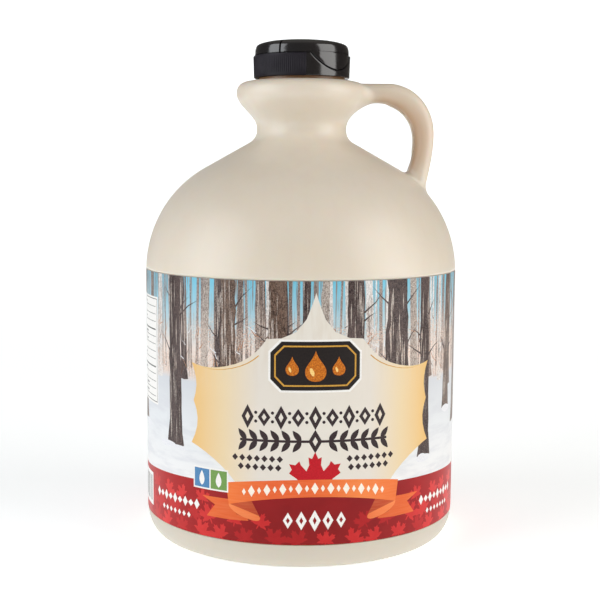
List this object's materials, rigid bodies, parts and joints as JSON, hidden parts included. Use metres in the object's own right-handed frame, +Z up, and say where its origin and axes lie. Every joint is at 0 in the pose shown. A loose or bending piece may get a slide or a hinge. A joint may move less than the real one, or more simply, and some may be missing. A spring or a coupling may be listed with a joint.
{
  "type": "syrup jug",
  "caption": "Round plastic syrup jug with a domed shoulder, a loop handle on the collar of its neck, a wrap-round label and a shut flip-top screw cap.",
  "frame": {"origin": "middle of the base, on the surface the jug stands on", "axes": "+Z up along the jug's axis, +X towards the handle, -Y the front of the label"},
  "size_m": [0.1326, 0.1326, 0.2092],
  "materials": {
    "jug_plastic": "satin, slightly pearly beige HDPE",
    "label_print": "printed in-mould label, semi-matte",
    "cap_plastic": "near-black polypropylene, semi-gloss"
  },
  "bodies": {
    "root": {"jug": "jug_plastic", "label": "label_print", "cap_base": "cap_plastic", "cap_lid": "cap_plastic"}
  },
  "joints": []
}
